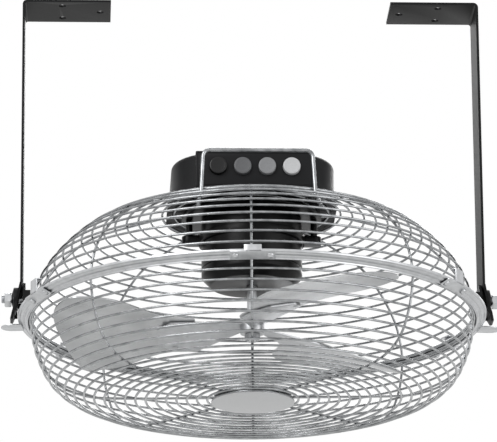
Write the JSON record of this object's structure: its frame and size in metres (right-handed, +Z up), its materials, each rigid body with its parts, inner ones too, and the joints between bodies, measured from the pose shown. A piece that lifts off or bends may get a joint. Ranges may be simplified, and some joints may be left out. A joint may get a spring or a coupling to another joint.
{
  "type": "ceiling-hung cage fan",
  "caption": "Wire-cage fan hung from a ceiling on two strip brackets, with a tilting head, press-button speed control and a wire handle.",
  "frame": {"origin": "midway between the two bracket feet, on the ceiling plane that their top faces rest against", "axes": "+X from the left pivot to the right one along the tilt axis, +Y away from the side with the handle and buttons, +Z up towards the ceiling"},
  "size_m": [0.6008, 0.5655, 0.4985],
  "materials": {
    "black_painted_steel": "satin black powder coat",
    "dark_motor_paint": "semi-gloss black enamel",
    "bright_wire": "bright plated",
    "plated_steel": "bright zinc plate",
    "blade_aluminium": "satin rolled sheet",
    "badge_aluminium": "brushed, bare",
    "laminated_steel": "mill finish laminations",
    "winding_copper": "varnished copper wire",
    "black_plastic": "fine-grained moulding",
    "switch_plastic": "plain moulding",
    "button_black": "semi-gloss",
    "button_dark_grey": "semi-gloss",
    "button_grey": "semi-gloss",
    "button_light_grey": "semi-gloss"
  },
  "bodies": {
    "ceiling_mount": {"left_bracket": "black_painted_steel", "right_bracket": "black_painted_steel", "left_pivot_bush": "black_plastic", "right_pivot_bush": "black_plastic"},
    "fan_head": {"left_pivot_stud": "plated_steel", "right_pivot_stud": "plated_steel", "left_pivot_nut": "plated_steel", "right_pivot_nut": "plated_steel", "left_pivot_plate": "black_painted_steel", "right_pivot_plate": "black_painted_steel", "clamp_ring": "plated_steel", "front_guard": "bright_wire", "rear_guard": "bright_wire", "left_tilt_tab": "plated_steel", "right_tilt_tab": "plated_steel", "badge_disc": "badge_aluminium", "badge_clamp_plate": "plated_steel", "motor_housing": "dark_motor_paint", "motor_end_bell": "dark_motor_paint", "stator_core": "laminated_steel", "upper_winding": "winding_copper", "lower_winding": "winding_copper", "lower_bearing": "plated_steel", "upper_bearing": "plated_steel", "motor_mount_plate": "dark_motor_paint", "motor_yoke": "dark_motor_paint", "housing_base": "black_plastic", "control_cover": "black_plastic", "button_panel": "black_plastic", "speed_switch": "switch_plastic", "motor_capacitor": "switch_plastic", "terminal_block": "switch_plastic", "cable_gland": "black_plastic", "carry_handle": "bright_wire", "latch_clip_1": "plated_steel", "latch_clip_2": "plated_steel", "latch_clip_3": "plated_steel", "latch_clip_4": "plated_steel", "latch_clip_5": "plated_steel", "latch_clip_6": "plated_steel", "through_bolt_1": "plated_steel", "cover_screw_1": "plated_steel", "through_bolt_2": "plated_steel", "cover_screw_2": "plated_steel", "through_bolt_3": "plated_steel", "cover_screw_3": "plated_steel", "through_bolt_4": "plated_steel", "cover_screw_4": "plated_steel"},
    "impeller": {"rotor_shaft": "plated_steel", "blade_hub": "plated_steel", "hub_nut": "plated_steel", "fan_blade_1": "blade_aluminium", "fan_blade_2": "blade_aluminium", "fan_blade_3": "blade_aluminium"},
    "stop_button": {"stop_button": "button_black"},
    "low_speed_button": {"low_speed_button": "button_dark_grey"},
    "medium_speed_button": {"medium_speed_button": "button_grey"},
    "high_speed_button": {"high_speed_button": "button_light_grey"}
  },
  "joints": [
    {"name": "fan_tilt", "type": "hinge", "parent": "ceiling_mount", "child": "fan_head", "pos_m": [0, 0, -0.369], "axis": [1, 0, 0], "range_deg": [-45, 45]},
    {"name": "impeller_spin", "type": "hinge", "parent": "fan_head", "child": "impeller", "pos_m": [0, 0, -0.393], "axis": [0, 0, 1], "continuous": true},
    {"name": "stop_press", "type": "slide", "parent": "fan_head", "child": "stop_button", "axis": [0, 1, 0], "range_m": [0, 0.004], "stiffness_N_per_m": 300, "springref_m": -0.002},
    {"name": "low_speed_press", "type": "slide", "parent": "fan_head", "child": "low_speed_button", "axis": [0, 1, 0], "range_m": [0, 0.004], "stiffness_N_per_m": 300, "springref_m": -0.002},
    {"name": "medium_speed_press", "type": "slide", "parent": "fan_head", "child": "medium_speed_button", "axis": [0, 1, 0], "range_m": [0, 0.004], "stiffness_N_per_m": 300, "springref_m": -0.002},
    {"name": "high_speed_press", "type": "slide", "parent": "fan_head", "child": "high_speed_button", "axis": [0, 1, 0], "range_m": [0, 0.004], "stiffness_N_per_m": 300, "springref_m": -0.002}
  ]
}
